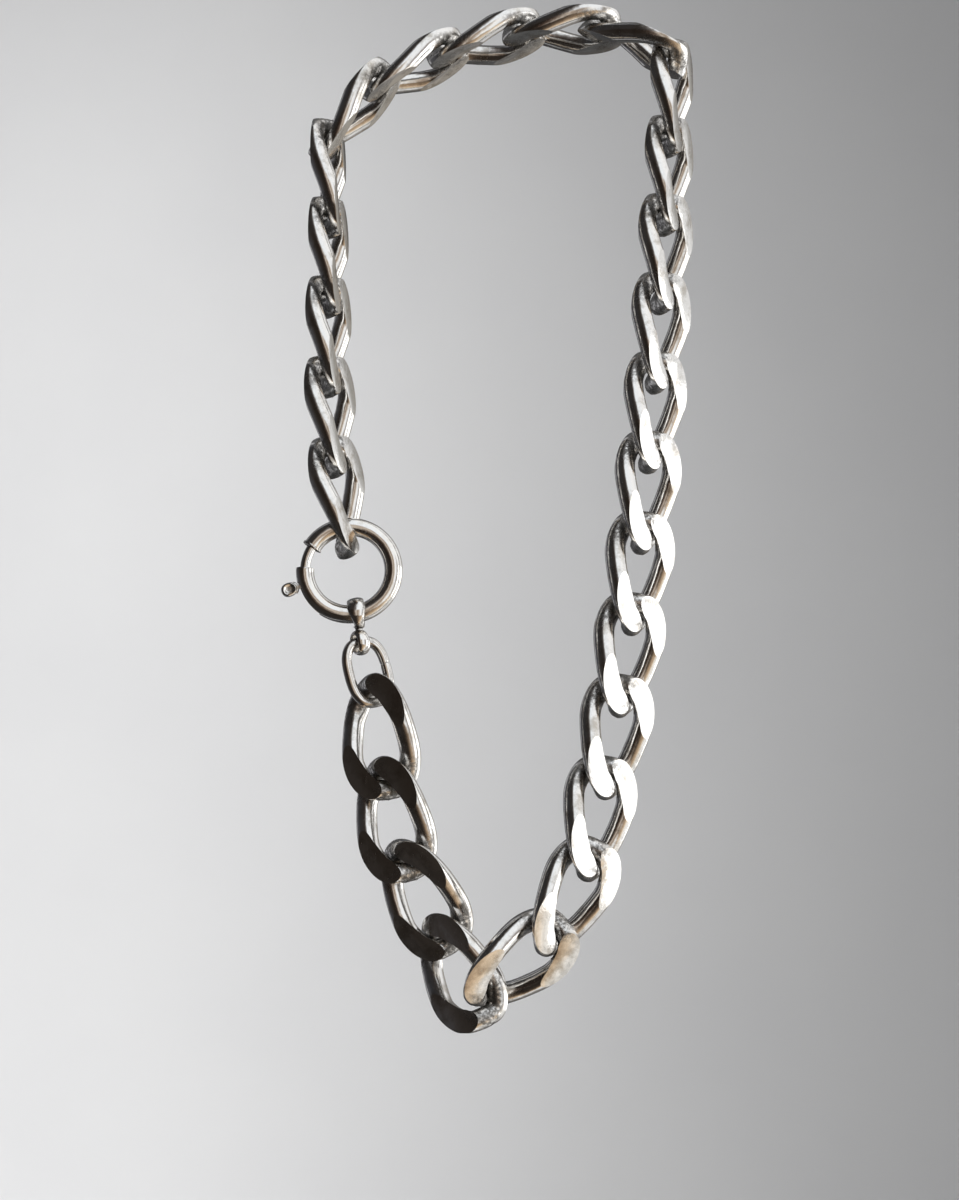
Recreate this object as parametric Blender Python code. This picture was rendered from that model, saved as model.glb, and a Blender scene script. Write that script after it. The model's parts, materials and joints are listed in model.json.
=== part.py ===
"""Chain necklace: a heavy curb chain with flat filed faces, closed by a bolt ring.

The chain hangs as one loop from its top run. +X is to the wearer's left, +Y points
away from the viewer, +Z is up. The origin is where the top run is held.
Lengths are in millimetres until they reach a mesh, which is in metres.
"""

from math import asin, atan2, copysign, cos, degrees, pi, radians, sin

import bmesh
import bpy
from mathutils import Matrix, Vector

MM = 0.001
CLEARANCE = 0.3

# A curb link: one wire loop, twisted so that it lies flat beside its neighbours.
WIRE_RADIUS = 1.85
LINK_HALF_LENGTH = 9.25
LINK_HALF_WIDTH = 5.2
LINK_ROUNDNESS = 2.35
TWIST_DEPTH = 2.15
TWIST_WIDTH = 3.0
FILED_HALF_THICKNESS = 2.2
LINK_POINTS = 20
CONTACT_REACH = LINK_HALF_LENGTH - WIRE_RADIUS - CLEARANCE / 2
PITCH = 2 * CONTACT_REACH

# The two strands hang in the plane y = 0. Each list gives a strand's links in order.
# lean is the angle from +Z towards +X, turn is how far the front face looks to +X.
RIGHT_TOP = (31.0, 0.0, -2.4)
RIGHT_LEANS = (2.6, 2.9, 3.6, 4.6, 5.4, 6.0, 7.2, 9.0, 10.0)
RIGHT_TURNS = (70, 65, 59, 54, 50, 46, 42, 39, 36)
LEFT_TOP = (-31.1, 0.0, -17.6)
LEFT_LEANS = (-0.8, -0.5, -0.8, -4.0, -8.5)
LEFT_TURNS = (84, 80, 75, 70, 66)
LOWER_LEFT_TOP = (-22.2, 0.0, -117.8)
LOWER_LEFT_LEANS = (-7.2, -12.6)
LOWER_LEFT_TURNS = (-25, -25)

# Links that lie round a bend: centre x, y, z, then lean, tilt and turn.
BOTTOM_BEND = (
    (-13.5, 1.2, -152.6, -25.1, -12.1, -24.7),
    (-7.7, 1.1, -165.4, -30.5, 19.9, -30.3),
    (2.7, -1.6, -163.6, 53.9, -1.4, 34.3),
    (11.7, -1.9, -152.7, 28.7, 1.8, 36.4),
    (16.2, -1.2, -139.1, 11.2, 6.8, 37.1),
)
TOP_BEND = (
    (24.3, 0.4, 0.7, -59.5, 22.2, 81.4),
    (11.2, 3.7, 4.3, -89.5, 12.1, 92.3),
    (-2.9, 4.7, 2.4, -106.6, 1.1, 95.2),
    (-16.1, 3.3, -3.1, -119.1, -7.9, 94.7),
    (-26.6, 1.5, -12.0, -141.7, 0.3, 94.5),
)

# The bolt ring, seen from the front. Angles run anticlockwise from +X.
RING_RADIUS = 7.75
RING_HANG = (0.12, 0.0, -1.0)
TUBE_RADIUS = 1.6
BORE_RADIUS = 1.25
BOLT_RADIUS = 1.0
MOUTH_START = 149.0
MOUTH_END = 177.0
TIP_SOCKET_END = 137.0
BORE_END = 292.0
COLLAR_RADIUS = 1.8
COLLAR_SPAN = 3.0
COLLAR_SETBACK = 0.5
CUTTER_OVERRUN = 3.0
BOLT_START = 143.0
BOLT_END = 215.0
TRIGGER_ANGLE = 198.0
TRIGGER_REACH = 3.1
TRIGGER_WIDTH = 2.8
TRIGGER_THICKNESS = 1.0
STEM_WIDTH = 0.8
STEM_ROOT = 0.3
STEM_SHORT_OF_TIP = 2.0
SLOT_START = 194.0
SLOT_END = 236.5
SLOT_HALF_DEPTH = 0.8
SLOT_CUTTER_REACH = 1.0
SPRING_START = 217.5
SPRING_END = 289.0
SPRING_TURNS = 8
SPRING_COIL_RADIUS = 0.75
SPRING_WIRE_RADIUS = 0.2

# The figure-8 bail, held by the ring, and the oval jump ring below it.
BAIL_ANGLE = 281.0
BAIL_UPPER_HOLE = 2.05
BAIL_LOWER_HOLE = 1.5
BAIL_WALL = 0.75
BAIL_NECK = 0.05
BAIL_NECK_WIDTH = 1.7
BAIL_NECK_HALF_HEIGHT = 0.6
BAIL_LOWER_SHIFT = 0.5
BAIL_UPPER_WIDTH = 3.0
BAIL_LOWER_WIDTH = 2.2
BAIL_TWIST = 25.0
BAIL_LOWER_LEAN = -15.0
BAIL_SIDES = 24
HOLE_CUTTER_LENGTH = 10.0
JUMP_WIRE_RADIUS = 0.9
JUMP_HALF_WIDTH = 3.6
JUMP_ROUNDNESS = 2.6
JUMP_CUT_ANGLE = 5.0
JUMP_CUT_GAP = 0.2
JUMP_TURN = 25.0
JUMP_TOP_RISE = 0.12
JUMP_BOTTOM_SHIFT = (0.3, 0.4, -0.1)

SILVER = (0.83, 0.82, 0.80)
STEEL = (0.55, 0.55, 0.56)


def clear_scene():
    for obj in list(bpy.data.objects):
        bpy.data.objects.remove(obj, do_unlink=True)


def new_collection(name):
    collection = bpy.data.collections.new(name)
    bpy.context.scene.collection.children.link(collection)
    return collection


def metal(name, colour, roughness):
    material = bpy.data.materials.new(name)
    material.use_nodes = True
    shader = material.node_tree.nodes["Principled BSDF"]
    shader.inputs["Base Color"].default_value = (*colour, 1.0)
    shader.inputs["Metallic"].default_value = 1.0
    shader.inputs["Roughness"].default_value = roughness
    return material


def add_object(name, mesh, collection, material=None):
    obj = bpy.data.objects.new(name, mesh)
    collection.objects.link(obj)
    if material is not None:
        mesh.materials.clear()
        mesh.materials.append(material)
    return obj


def evaluated_mesh(obj):
    """The object's mesh with its modifiers applied; the object is then removed."""
    bpy.context.view_layer.update()
    graph = bpy.context.evaluated_depsgraph_get()
    mesh = bpy.data.meshes.new_from_object(obj.evaluated_get(graph))
    bpy.data.objects.remove(obj, do_unlink=True)
    return mesh


def wire_mesh(name, points, radius, resolution, cyclic=False):
    """A round wire along the points, which are in millimetres."""
    curve = bpy.data.curves.new(name, "CURVE")
    curve.dimensions = "3D"
    curve.bevel_depth = radius * MM
    curve.bevel_resolution = resolution
    curve.use_fill_caps = not cyclic
    spline = curve.splines.new("POLY")
    spline.points.add(len(points) - 1)
    for point, place in zip(spline.points, points):
        point.co = (*(Vector(place) * MM), 1.0)
    spline.use_cyclic_u = cyclic
    mesh = evaluated_mesh(add_object(name + "_wire", curve, guides))
    work = bmesh.new()
    work.from_mesh(mesh)
    bmesh.ops.remove_doubles(work, verts=work.verts, dist=0.00001)
    bmesh.ops.recalc_face_normals(work, faces=work.faces)
    work.to_mesh(mesh)
    work.free()
    return mesh


def combined(name, base, others, operation):
    """The base mesh after a Boolean with each of the other meshes in turn."""
    for other in others:
        obj = add_object(name + "_base", base, guides)
        tool = add_object(name + "_tool", other, guides)
        tool.display_type = "WIRE"
        tool.hide_render = True
        boolean = obj.modifiers.new("Boolean", "BOOLEAN")
        boolean.operation = operation
        boolean.solver = "EXACT"
        boolean.object = tool
        base = evaluated_mesh(obj)
        bpy.data.objects.remove(tool, do_unlink=True)
    base.name = name
    return base


def round_shading(mesh, angle=40.0):
    mesh.shade_smooth()
    mesh.set_sharp_from_angle(angle=radians(angle))


def moved(mesh, matrix):
    mesh.transform(matrix)
    return mesh


def facing(lean, tilt=0.0, turn=0.0):
    """The rotation of a link whose long axis starts along +Z and front looks to -Y."""
    lean_part = Matrix.Rotation(radians(lean), 4, "Y")
    tilt_part = Matrix.Rotation(radians(-tilt), 4, "X")
    turn_part = Matrix.Rotation(radians(turn), 4, "Z")
    return lean_part @ tilt_part @ turn_part


def place(centre, rotation):
    return Matrix.Translation(Vector(centre) * MM) @ rotation


# ---- Links ---------------------------------------------------------------------


def smooth_limit(value):
    """Goes from -1 to 1 and levels off at both ends."""
    value = max(-1.0, min(1.0, value))
    return 1.5 * value - 0.5 * value**3


def power(value, exponent):
    return copysign(abs(value) ** exponent, value)


def link_point(angle):
    """A point of the wire's centreline: a rounded oval whose ends twist fore and aft."""
    z = LINK_HALF_LENGTH * power(cos(angle), 2 / LINK_ROUNDNESS)
    x = LINK_HALF_WIDTH * power(sin(angle), 2 / LINK_ROUNDNESS)
    swing = sin(pi / 2 * z / LINK_HALF_LENGTH)
    y = -TWIST_DEPTH * swing * smooth_limit(x / TWIST_WIDTH)
    return x, y, z


def file_flat(mesh, side):
    """Cuts the mesh off at the filed face on one side and closes the cuts."""
    work = bmesh.new()
    work.from_mesh(mesh)
    bmesh.ops.bisect_plane(
        work,
        geom=work.verts[:] + work.edges[:] + work.faces[:],
        plane_co=(0.0, side * FILED_HALF_THICKNESS * MM, 0.0),
        plane_no=(0.0, side, 0.0),
        clear_outer=True,
    )
    open_edges = [edge for edge in work.edges if edge.is_boundary]
    bmesh.ops.edgeloop_fill(work, edges=open_edges)
    bmesh.ops.recalc_face_normals(work, faces=work.faces)
    work.to_mesh(mesh)
    work.free()


def link_mesh():
    angles = [2 * pi * step / LINK_POINTS for step in range(LINK_POINTS)]
    points = [link_point(angle) for angle in angles]
    mesh = wire_mesh("curb_link", points, WIRE_RADIUS, 2, cyclic=True)
    file_flat(mesh, -1)
    file_flat(mesh, 1)
    round_shading(mesh)
    return mesh


def strand_places(top, leans, turns):
    """Hangs links one under another from a contact point, each by its own lean."""
    contact = Vector(top)
    places = []
    for lean, turn in zip(leans, turns):
        rotation = facing(lean, 0.0, turn)
        along = rotation.to_3x3() @ Vector((0.0, 0.0, 1.0))
        places.append(place(contact - along * CONTACT_REACH, rotation))
        contact = contact - along * PITCH
    return places


def bend_places(rows):
    return [place(row[:3], facing(*row[3:])) for row in rows]


def build_chain(parts, silver):
    """Numbers the links from the one on the jump ring round to the one on the clasp."""
    lower_left = strand_places(LOWER_LEFT_TOP, LOWER_LEFT_LEANS, LOWER_LEFT_TURNS)
    right_upwards = strand_places(RIGHT_TOP, RIGHT_LEANS, RIGHT_TURNS)[::-1]
    left = strand_places(LEFT_TOP, LEFT_LEANS, LEFT_TURNS)
    bottom = bend_places(BOTTOM_BEND)
    top = bend_places(TOP_BEND)
    mesh = link_mesh()
    for number, matrix in enumerate(lower_left + bottom + right_upwards + top + left, 1):
        obj = add_object(f"link_{number:02d}", mesh, parts, silver)
        obj.matrix_world = matrix


# ---- Bolt ring -----------------------------------------------------------------


def ring_centre():
    """The ring hangs from the lowest contact of the left strand, by its top."""
    contact = Vector(LEFT_TOP)
    for lean in LEFT_LEANS:
        contact -= Vector((sin(radians(lean)), 0.0, cos(radians(lean)))) * PITCH
    along = Vector(RING_HANG).normalized()
    return contact + along * (RING_RADIUS - TUBE_RADIUS - CLEARANCE / 2)


def on_ring(angle, radius=RING_RADIUS):
    """A point round the ring's centre, at an angle seen from the front."""
    return Vector((radius * cos(radians(angle)), 0.0, radius * sin(radians(angle))))


def arc_tube(name, start, end, radius, step=8.0):
    """A round bar bent along the ring from one angle to another."""
    count = max(2, round((end - start) / step))
    angles = [start + (end - start) * index / count for index in range(count + 1)]
    return wire_mesh(name, [on_ring(angle) for angle in angles], radius, 2)


def box_mesh(name, low, high):
    work = bmesh.new()
    bmesh.ops.create_cube(work, size=1.0)
    size = Vector(high) - Vector(low)
    middle = (Vector(high) + Vector(low)) / 2
    bmesh.ops.scale(work, vec=size * MM, verts=work.verts)
    bmesh.ops.translate(work, vec=middle * MM, verts=work.verts)
    mesh = bpy.data.meshes.new(name)
    work.to_mesh(mesh)
    work.free()
    return mesh


def slot_mesh():
    """A curved block, as wide as the slot, which cuts through the tube's outer wall."""
    work = bmesh.new()
    inner = RING_RADIUS
    outer = RING_RADIUS + TUBE_RADIUS + SLOT_CUTTER_REACH
    half = SLOT_HALF_DEPTH
    corners = ((inner, -half), (outer, -half), (outer, half), (inner, half))
    verts = [work.verts.new((radial * MM, depth * MM, 0.0)) for radial, depth in corners]
    face = work.faces.new(verts)
    start = Matrix.Rotation(radians(SLOT_START), 3, (0.0, -1.0, 0.0))
    bmesh.ops.rotate(work, cent=(0, 0, 0), matrix=start, verts=verts)
    bmesh.ops.spin(
        work,
        geom=[*verts, *work.edges, face],
        cent=(0.0, 0.0, 0.0),
        axis=(0.0, -1.0, 0.0),
        angle=radians(SLOT_END - SLOT_START),
        steps=8,
    )
    bmesh.ops.recalc_face_normals(work, faces=work.faces)
    mesh = bpy.data.meshes.new("slot")
    work.to_mesh(mesh)
    work.free()
    return mesh


def build_ring(parts, silver):
    centre = ring_centre()
    tube = arc_tube("tube", MOUTH_END, MOUTH_START + 360.0, TUBE_RADIUS)
    collar_end = MOUTH_START + 360.0 - COLLAR_SETBACK
    collar = arc_tube("collar", collar_end - COLLAR_SPAN, collar_end, COLLAR_RADIUS, 3.0)
    solid = combined("bolt_ring_tube", tube, [collar], "UNION")
    bore = arc_tube("bore", MOUTH_END - CUTTER_OVERRUN, BORE_END, BORE_RADIUS)
    socket_end = MOUTH_START + CUTTER_OVERRUN
    socket = arc_tube("socket", TIP_SOCKET_END, socket_end, BORE_RADIUS, 3.0)
    solid = combined("bolt_ring_tube", solid, [bore, socket, slot_mesh()], "DIFFERENCE")
    round_shading(solid)
    obj = add_object("bolt_ring_tube", solid, parts, silver)
    obj.location = centre * MM
    return centre


def trigger_mesh():
    """A rounded loop of flat wire on a short stem, standing out along +X."""
    stem_start = RING_RADIUS - STEM_ROOT
    reach = RING_RADIUS + TUBE_RADIUS + TRIGGER_REACH
    stem = box_mesh(
        "stem",
        (stem_start, -TRIGGER_THICKNESS / 2, -STEM_WIDTH / 2),
        (reach - STEM_SHORT_OF_TIP, TRIGGER_THICKNESS / 2, STEM_WIDTH / 2),
    )
    pad = bmesh.new()
    bmesh.ops.create_cone(
        pad,
        cap_ends=True,
        segments=16,
        radius1=TRIGGER_WIDTH / 2 * MM,
        radius2=TRIGGER_WIDTH / 2 * MM,
        depth=TRIGGER_THICKNESS * MM,
        matrix=Matrix.Rotation(radians(90), 4, "X"),
    )
    half_length = (TRIGGER_REACH - CLEARANCE) / 2
    bmesh.ops.scale(pad, vec=(2 * half_length / TRIGGER_WIDTH, 1.0, 1.0), verts=pad.verts)
    bmesh.ops.translate(pad, vec=((reach - half_length) * MM, 0, 0), verts=pad.verts)
    mesh = bpy.data.meshes.new("pad")
    pad.to_mesh(mesh)
    pad.free()
    return combined("trigger", stem, [mesh], "UNION")


def build_bolt(parts, silver, centre):
    """The bolt turns about the ring's own axis, so its origin is the ring's centre."""
    rod = arc_tube("rod", BOLT_START, BOLT_END, BOLT_RADIUS)
    turn = Matrix.Rotation(radians(TRIGGER_ANGLE), 4, (0.0, -1.0, 0.0))
    trigger = moved(trigger_mesh(), turn)
    solid = combined("bolt_with_trigger", rod, [trigger], "UNION")
    round_shading(solid)
    obj = add_object("bolt_with_trigger", solid, parts, silver)
    obj.location = centre * MM


def build_spring(parts, steel, centre):
    """A coil that follows the bend of the bore behind the bolt."""
    steps_per_turn = 8
    count = SPRING_TURNS * steps_per_turn
    points = []
    for step in range(count + 1):
        share = step / count
        angle = SPRING_START + (SPRING_END - SPRING_START) * share
        phase = 2 * pi * SPRING_TURNS * share
        radius = RING_RADIUS + SPRING_COIL_RADIUS * cos(phase)
        point = on_ring(angle, radius)
        point.y = SPRING_COIL_RADIUS * sin(phase)
        points.append(point)
    mesh = wire_mesh("bolt_spring", points, SPRING_WIRE_RADIUS, 1)
    round_shading(mesh)
    obj = add_object("bolt_spring", mesh, parts, steel)
    obj.location = centre * MM


# ---- Bail and jump ring --------------------------------------------------------


def drum_mesh(name, radius, width):
    """A plain cylinder along X."""
    work = bmesh.new()
    bmesh.ops.create_cone(
        work,
        cap_ends=True,
        segments=BAIL_SIDES,
        radius1=radius * MM,
        radius2=radius * MM,
        depth=width * MM,
        matrix=Matrix.Rotation(radians(90), 4, "Y"),
    )
    mesh = bpy.data.meshes.new(name)
    work.to_mesh(mesh)
    work.free()
    return mesh


def band_mesh(name, hole, width):
    return drum_mesh(name, hole + BAIL_WALL, width)


def hole_mesh(name, hole):
    return drum_mesh(name, hole, HOLE_CUTTER_LENGTH)


def bail_lower_offset():
    """From the centre of the bail's upper hole to the centre of its lower one."""
    drop = BAIL_UPPER_HOLE + BAIL_LOWER_HOLE + 2 * BAIL_WALL + BAIL_NECK
    return Vector((BAIL_LOWER_SHIFT, 0.0, -drop))


def bail_neck():
    """A block that joins the two bands where they meet."""
    middle = bail_lower_offset() * (BAIL_UPPER_HOLE + BAIL_WALL) / -bail_lower_offset().z
    half = Vector((BAIL_NECK_WIDTH / 2, BAIL_NECK_WIDTH / 2, BAIL_NECK_HALF_HEIGHT))
    return box_mesh("neck", middle - half, middle + half)


def build_bail(parts, silver, ring):
    upper = ring + on_ring(BAIL_ANGLE)
    place_upper = Matrix.Rotation(radians(270.0 - BAIL_ANGLE), 4, "Y")
    drop = Matrix.Translation(bail_lower_offset() * MM)
    place_lower = drop @ facing(BAIL_LOWER_LEAN, 0.0, BAIL_TWIST)
    bands = [
        moved(band_mesh("upper_band", BAIL_UPPER_HOLE, BAIL_UPPER_WIDTH), place_upper),
        moved(band_mesh("lower_band", BAIL_LOWER_HOLE, BAIL_LOWER_WIDTH), place_lower),
        bail_neck(),
    ]
    holes = [
        moved(hole_mesh("upper_hole", BAIL_UPPER_HOLE), place_upper),
        moved(hole_mesh("lower_hole", BAIL_LOWER_HOLE), place_lower),
    ]
    solid = combined("figure_8_bail", bands[0], bands[1:], "UNION")
    solid = combined("figure_8_bail", solid, holes, "DIFFERENCE")
    round_shading(solid)
    obj = add_object("figure_8_bail", solid, parts, silver)
    obj.location = upper * MM
    return upper + bail_lower_offset()


def build_jump_ring(parts, silver, top):
    """An oval wire ring, cut through on its right side."""
    top = top + Vector((0.0, 0.0, JUMP_TOP_RISE))
    bottom = Vector(LOWER_LEFT_TOP) + Vector(JUMP_BOTTOM_SHIFT)
    bottom.z -= CLEARANCE / 2 + JUMP_WIRE_RADIUS
    along = top - bottom
    lean = degrees(atan2(along.x, along.z))
    tilt = degrees(asin(along.y / along.length))
    half_gap = degrees(asin(JUMP_CUT_GAP / 2 / JUMP_HALF_WIDTH))
    steps = 24
    points = []
    for step in range(steps + 1):
        span = 360.0 - 2 * half_gap
        angle = radians(JUMP_CUT_ANGLE + half_gap + span * step / steps)
        x = JUMP_HALF_WIDTH * power(cos(angle), 2 / JUMP_ROUNDNESS)
        z = along.length / 2 * power(sin(angle), 2 / JUMP_ROUNDNESS)
        points.append((x, 0.0, z))
    mesh = wire_mesh("jump_ring", points, JUMP_WIRE_RADIUS, 2)
    round_shading(mesh)
    obj = add_object("jump_ring", mesh, parts, silver)
    obj.matrix_world = place((top + bottom) / 2, facing(lean, tilt, JUMP_TURN))


clear_scene()
parts = new_collection("chain_necklace")
guides = new_collection("guides")
silver = metal("silver", SILVER, 0.12)
steel = metal("spring_steel", STEEL, 0.3)
build_chain(parts, silver)
ring = build_ring(parts, silver)
build_bolt(parts, silver, ring)
build_spring(parts, steel, ring)
lower_hole = build_bail(parts, silver, ring)
build_jump_ring(parts, silver, lower_hole)
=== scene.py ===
"""Looks for the chain necklace: filed curb links, bolt ring, bail and jump ring.

Shapes are worked out in millimetres and written to meshes in metres. Every visible
piece stands for one CAD node and rides on that node's body.
"""

import json
from math import asin, atan2, copysign, cos, degrees, pi, radians, sin
from random import Random
from typing import NamedTuple

import bmesh
import bpy
from mathutils import Matrix, Vector, noise

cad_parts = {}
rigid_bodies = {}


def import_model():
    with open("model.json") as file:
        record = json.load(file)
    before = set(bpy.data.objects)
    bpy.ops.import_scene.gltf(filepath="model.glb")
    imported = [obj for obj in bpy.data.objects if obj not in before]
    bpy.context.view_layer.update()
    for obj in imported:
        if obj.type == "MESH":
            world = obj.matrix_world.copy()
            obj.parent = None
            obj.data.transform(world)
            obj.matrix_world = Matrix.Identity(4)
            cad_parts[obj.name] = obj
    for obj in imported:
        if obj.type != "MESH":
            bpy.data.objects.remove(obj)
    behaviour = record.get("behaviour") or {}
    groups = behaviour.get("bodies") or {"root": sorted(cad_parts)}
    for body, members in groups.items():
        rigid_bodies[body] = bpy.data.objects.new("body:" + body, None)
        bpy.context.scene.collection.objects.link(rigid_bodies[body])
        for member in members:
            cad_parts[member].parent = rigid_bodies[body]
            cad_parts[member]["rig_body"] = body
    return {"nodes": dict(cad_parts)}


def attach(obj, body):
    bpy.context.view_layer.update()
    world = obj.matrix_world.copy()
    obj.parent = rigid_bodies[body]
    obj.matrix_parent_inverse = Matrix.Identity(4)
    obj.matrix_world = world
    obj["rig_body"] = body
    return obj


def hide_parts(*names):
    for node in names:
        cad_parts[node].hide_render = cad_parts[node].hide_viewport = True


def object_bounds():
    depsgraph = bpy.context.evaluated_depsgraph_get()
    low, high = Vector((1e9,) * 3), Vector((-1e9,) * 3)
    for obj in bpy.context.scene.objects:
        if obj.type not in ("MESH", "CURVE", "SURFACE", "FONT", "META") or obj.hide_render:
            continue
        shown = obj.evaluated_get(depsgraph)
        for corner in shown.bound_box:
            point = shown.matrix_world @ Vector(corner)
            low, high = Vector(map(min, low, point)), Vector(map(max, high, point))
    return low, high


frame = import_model()
CAD_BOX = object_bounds()

# Lengths are in millimetres and angles in degrees, unless a comment says metres.
MM = 0.001
DEPTH_AXIS = Vector((0, 1, 0))

# The gap between neighbours, as in the CAD model.
CLEARANCE = 0.3

# Booleans leave edges shorter than this, which are merged away.
SLIVER = 0.004
PINHOLE_SIDES = 8

# ---- Link shape, as in the CAD model -------------------------------------------
WIRE_RADIUS = 1.85
LINK_HALF_LENGTH = 9.25
LINK_HALF_WIDTH = 5.2
LINK_ROUNDNESS = 2.35
TWIST_DEPTH = 2.15
TWIST_WIDTH = 3.0
FILED_HALF_THICKNESS = 2.2
CONTACT_REACH = LINK_HALF_LENGTH - WIRE_RADIUS - CLEARANCE / 2
PITCH = 2 * CONTACT_REACH

# ---- Link surface, in the visual model only ------------------------------------
# The wire stays inside the CAD wire, so that dents and lumps have room.
VISUAL_WIRE_RADIUS = 1.81
LINK_LINE_POINTS = 2880
LINK_STEPS = 132
LINK_SIDES = 40
LINK_SHARP_ANGLE = 24.0

# The worn edge between a filed face and the round wire.
EDGE_SOFTNESS = 0.07
EDGE_SEGMENTS = 2
EDGE_ROUNDNESS = 0.6
EDGE_ANGLE = 16.0

# Shallow dents all along the wire: their height and how many there are per millimetre.
DENT_HEIGHT = 0.02
DENT_SCALE = 0.35

# The solder joint of a link: a shallow groove round the wire with a few rough lumps.
SEAM_ANGLE = 172.0
SEAM_WIDTH = 1.6
SEAM_DEPTH = 0.06
SEAM_GROOVE = (0.35, 0.0)
LUMP_REACH = (1.0, 0.3)
LUMP_HEIGHT = 0.16
LUMP_SCALE = 1.6
LUMP_SPREAD = 2.2

# Filing spreads the wire inwards, where it lies deep enough to be filed: how far, from
# which share of the twist's depth, and over which angles from the inside of the link.
SPREAD = 0.42
SPREAD_DEPTH = (0.5, 0.95)
SPREAD_SPAN = (60.0, 8.0)
SPREAD_END = (90, 60)

# Where a link gets dirt and painted shade: towards its ends and behind the filed face.
DIRT_AND_SHADE_ENDS = (3.0, 6.2)
DIRT_AND_SHADE_BACK = (1.7, 0.6)
BACK_DIRT_AND_SHADE = 0.85

# ---- Where the links hang, as in the CAD model ---------------------------------
# A strand hangs from a point, and each link has a lean and a turn. A link of a bend has
# its centre, lean, tilt and turn.
RIGHT_TOP = (31.0, 0.0, -2.4)
RIGHT_LEANS = (2.6, 2.9, 3.6, 4.6, 5.4, 6.0, 7.2, 9.0, 10.0)
RIGHT_TURNS = (70, 65, 59, 54, 50, 46, 42, 39, 36)
LEFT_TOP = (-31.1, 0.0, -17.6)
LEFT_LEANS = (-0.8, -0.5, -0.8, -4.0, -8.5)
LEFT_TURNS = (84, 80, 75, 70, 66)
LOWER_LEFT_TOP = (-22.2, 0.0, -117.8)
LOWER_LEFT_LEANS = (-7.2, -12.6)
LOWER_LEFT_TURNS = (-25, -25)
BOTTOM_BEND = (
    (-13.5, 1.2, -152.6, -25.1, -12.1, -24.7),
    (-7.7, 1.1, -165.4, -30.5, 19.9, -30.3),
    (2.7, -1.6, -163.6, 53.9, -1.4, 34.3),
    (11.7, -1.9, -152.7, 28.7, 1.8, 36.4),
    (16.2, -1.2, -139.1, 11.2, 6.8, 37.1),
)
TOP_BEND = (
    (24.3, 0.4, 0.7, -59.5, 22.2, 81.4),
    (11.2, 3.7, 4.3, -89.5, 12.1, 92.3),
    (-2.9, 4.7, 2.4, -106.6, 1.1, 95.2),
    (-16.1, 3.3, -3.1, -119.1, -7.9, 94.7),
    (-26.6, 1.5, -12.0, -141.7, 0.3, 94.5),
)

# ---- Clasp, bail and jump ring, as in the CAD model ----------------------------
RING_HANGS_ALONG = (0.12, 0.0, -1.0)
RING_RADIUS = 7.75
TUBE_RADIUS = 1.6
BORE_RADIUS = 1.25
MOUTH_START = 149.0
MOUTH_END = 177.0
TIP_SOCKET_END = 137.0
BORE_END = 292.0
COLLAR_RADIUS = 1.79
COLLAR_SPAN = 3.0
BOLT_START = 143.0
BOLT_END = 215.0
TRIGGER_ANGLE = 198.0
TRIGGER_REACH = 3.1
TRIGGER_MIDDLE = RING_RADIUS + TUBE_RADIUS + CLEARANCE + (TRIGGER_REACH - CLEARANCE) / 2
STEM_WIDTH = 0.8
SLOT_START = 194.0
SLOT_END = 236.5
SLOT_HALF_DEPTH = 0.8
SPRING_START = 217.5
SPRING_END = 289.0
SPRING_TURNS = 8
SPRING_WIRE_RADIUS = 0.2

BAIL_ANGLE = 281.0
BAIL_UPPER_HOLE = 2.05
BAIL_LOWER_HOLE = 1.5
BAIL_WALL = 0.75
BAIL_NECK = 0.05
BAIL_LOWER_SHIFT = 0.5
BAIL_UPPER_WIDTH = 3.0
BAIL_LOWER_WIDTH = 2.2
BAIL_TWIST = 25.0
BAIL_LOWER_LEAN = -15.0
JUMP_WIRE_RADIUS = 0.9
JUMP_HALF_WIDTH = 3.6
JUMP_ROUNDNESS = 2.6
JUMP_CUT_ANGLE = 5.0
JUMP_TURN = 25.0
JUMP_TOP_RISE = 0.12
JUMP_BOTTOM_SHIFT = (0.3, 0.4, -0.1)

# ---- Clasp, bail and jump ring, in the visual model only -----------------------
RING_SIDES = 40
VISUAL_TUBE_RADIUS = 1.585
TUBE_EDGE = 0.08
COLLAR_EDGE = 0.12
COLLAR_SETBACK = 0.4

# Cutters run this much past the mouth and out of the tube, so that they cut cleanly.
CUTTER_OVERLAP = 3.0
SLOT_OVERSHOOT = 1.0
SLOT_STEPS = 20
RING_SHARP_ANGLE = 28
LINK_ON_RING_ANGLE = 97.0

# The bolt slides with room in the bore, and the coil is thin enough to hide inside the
# bolt when the bolt is fully back.
VISUAL_BOLT_RADIUS = 0.86
BOLT_EDGE = 0.3
BOLT_SHARP_ANGLE = 40
SPRING_COIL_RADIUS = 0.62
SPRING_TURN_STEPS = 20
SPRING_SIDES = 10

# The thumb loop: a rounded tab. Each row is a share of the way out from its middle, and
# half the thickness there, which gives a thick rim and a dished middle.
LOOP_HALF_WIDTH = 1.25
LOOP_CLEARANCE = 0.12
BOX_MARGIN = 0.04
LOOP_SECTION = (
    (0.12, 0.22),
    (0.34, 0.22),
    (0.46, 0.30),
    (0.58, 0.50),
    (0.72, 0.60),
    (0.86, 0.50),
    (0.96, 0.28),
    (1.0, 0.0),
)
LOOP_SIDES = 56
LOOP_OUTER_SQUARENESS = 0.85
LOOP_INNER_SQUARENESS = 0.6
LOOP_NARROWING = 0.2

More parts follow.
